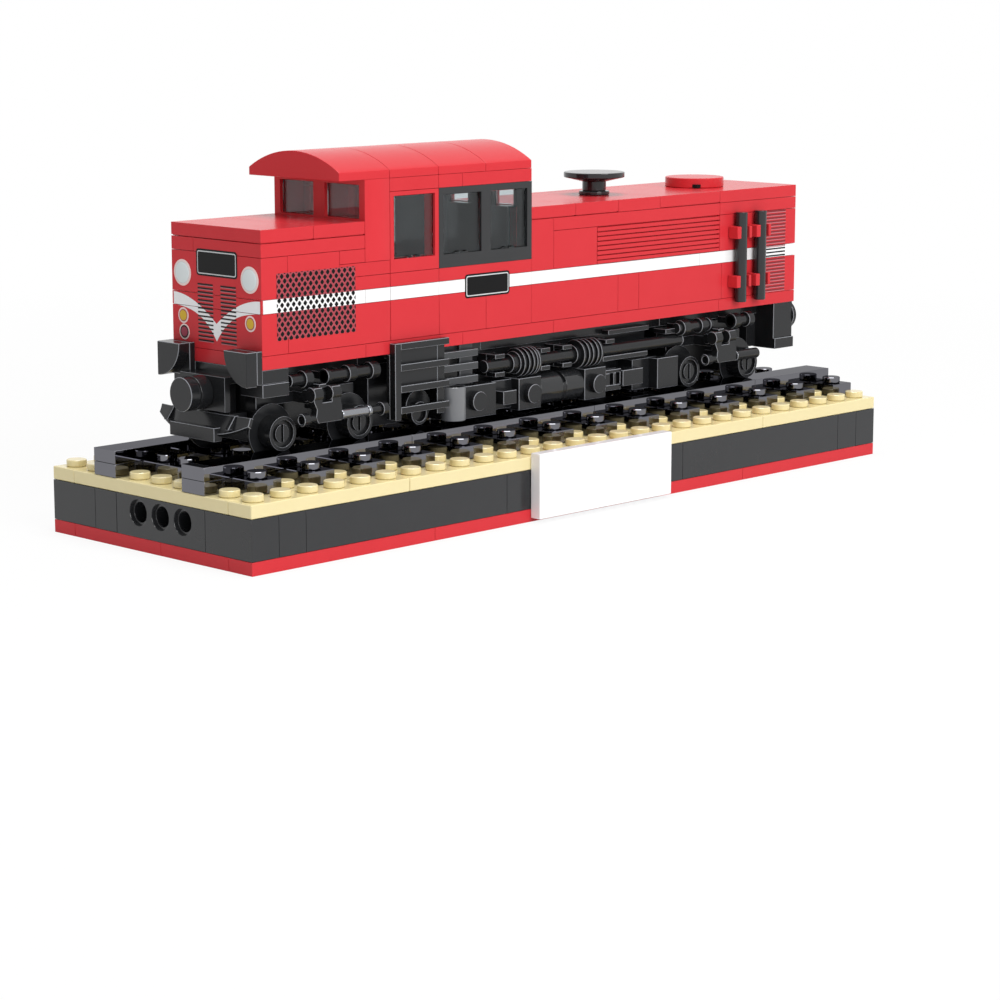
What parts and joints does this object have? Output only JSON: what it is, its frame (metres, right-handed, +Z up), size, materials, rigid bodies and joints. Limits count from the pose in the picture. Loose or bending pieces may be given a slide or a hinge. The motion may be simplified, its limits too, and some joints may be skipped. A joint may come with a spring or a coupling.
{
  "type": "brick-built model diesel locomotive on display track",
  "caption": "Brick-built toy model of a red centre-cab diesel locomotive with turning wheels and bogies, standing on brick-built track on a studded display plinth.",
  "frame": {"origin": "middle of the plinth's underside", "axes": "+X towards the locomotive's front, +Y towards its left side, +Z up"},
  "size_m": [0.224, 0.0752, 0.0896],
  "materials": {
    "red_abs": "glossy moulded ABS",
    "black_abs": "glossy moulded ABS",
    "tan_abs": "glossy moulded ABS",
    "pearl_grey_abs": "mirror-like dark pearl moulded ABS",
    "white_abs": "glossy moulded ABS",
    "grey_abs": "glossy moulded ABS",
    "clear_polycarbonate": "clear moulded polycarbonate"
  },
  "bodies": {
    "plinth_and_body": {"plinth_base_plates": "red_abs", "plinth_wall_bricks": "black_abs", "plinth_pin_brick": "black_abs", "plinth_top_plates": "tan_abs", "name_plate": "white_abs", "sleepers": "pearl_grey_abs", "rail_end_blocks": "pearl_grey_abs", "left_rail": "pearl_grey_abs", "right_rail": "pearl_grey_abs", "underframe": "black_abs", "equipment_carrier": "black_abs", "side_bars": "black_abs", "footplate": "red_abs", "front_hood": "red_abs", "front_hood_roof": "red_abs", "side_grilles": "black_abs", "headlights": "white_abs", "nose_plate": "black_abs", "long_hood": "red_abs", "long_hood_roof": "red_abs", "louvre_panels": "red_abs", "roof_dish": "black_abs", "roof_vent": "red_abs", "hand_rails": "black_abs", "hand_rail_clips": "red_abs", "cab_floor": "red_abs", "cab_front_wall": "red_abs", "cab_left_wall": "red_abs", "cab_right_wall": "red_abs", "cab_rear_wall": "red_abs", "left_window_frame": "black_abs", "right_window_frame": "black_abs", "cab_glass": "clear_polycarbonate", "cab_roof": "red_abs", "front_brackets": "black_abs", "front_buffers": "black_abs", "coupler_bracket": "black_abs", "front_coupler": "black_abs", "plough": "black_abs", "rear_beam": "black_abs", "rear_buffers": "black_abs", "ladders": "black_abs", "step_bars": "black_abs", "sand_pots": "grey_abs", "air_pipes": "black_abs", "pipe_clips": "black_abs", "fuel_tanks": "black_abs", "tank_brackets": "black_abs", "equipment_boxes": "black_abs"},
    "front_bogie": {"front_bogie_frame": "black_abs", "front_bogie_sides": "black_abs", "front_bogie_links": "grey_abs"},
    "rear_bogie": {"rear_bogie_frame": "black_abs", "rear_bogie_sides": "black_abs", "rear_bogie_links": "grey_abs"},
    "front_leading_wheels": {"front_leading_wheelset": "black_abs"},
    "front_trailing_wheels": {"front_trailing_wheelset": "black_abs"},
    "rear_leading_wheels": {"rear_leading_wheelset": "black_abs"},
    "rear_trailing_wheels": {"rear_trailing_wheelset": "black_abs"}
  },
  "joints": [
    {"name": "front_bogie_swivel", "type": "hinge", "parent": "plinth_and_body", "child": "front_bogie", "pos_m": [0.0731, 0, 0.036], "axis": [0, 0, 1], "range_deg": [-1.5, 1.5]},
    {"name": "rear_bogie_swivel", "type": "hinge", "parent": "plinth_and_body", "child": "rear_bogie", "pos_m": [-0.0695, 0, 0.036], "axis": [0, 0, 1], "range_deg": [-1.5, 1.5]},
    {"name": "front_leading_axle", "type": "hinge", "parent": "front_bogie", "child": "front_leading_wheels", "pos_m": [0.0851, 0, 0.0265], "axis": [0, 1, 0], "continuous": true},
    {"name": "front_trailing_axle", "type": "hinge", "parent": "front_bogie", "child": "front_trailing_wheels", "pos_m": [0.0611, 0, 0.0265], "axis": [0, 1, 0], "continuous": true},
    {"name": "rear_leading_axle", "type": "hinge", "parent": "rear_bogie", "child": "rear_leading_wheels", "pos_m": [-0.0575, 0, 0.0265], "axis": [0, 1, 0], "continuous": true},
    {"name": "rear_trailing_axle", "type": "hinge", "parent": "rear_bogie", "child": "rear_trailing_wheels", "pos_m": [-0.0815, 0, 0.0265], "axis": [0, 1, 0], "continuous": true}
  ]
}
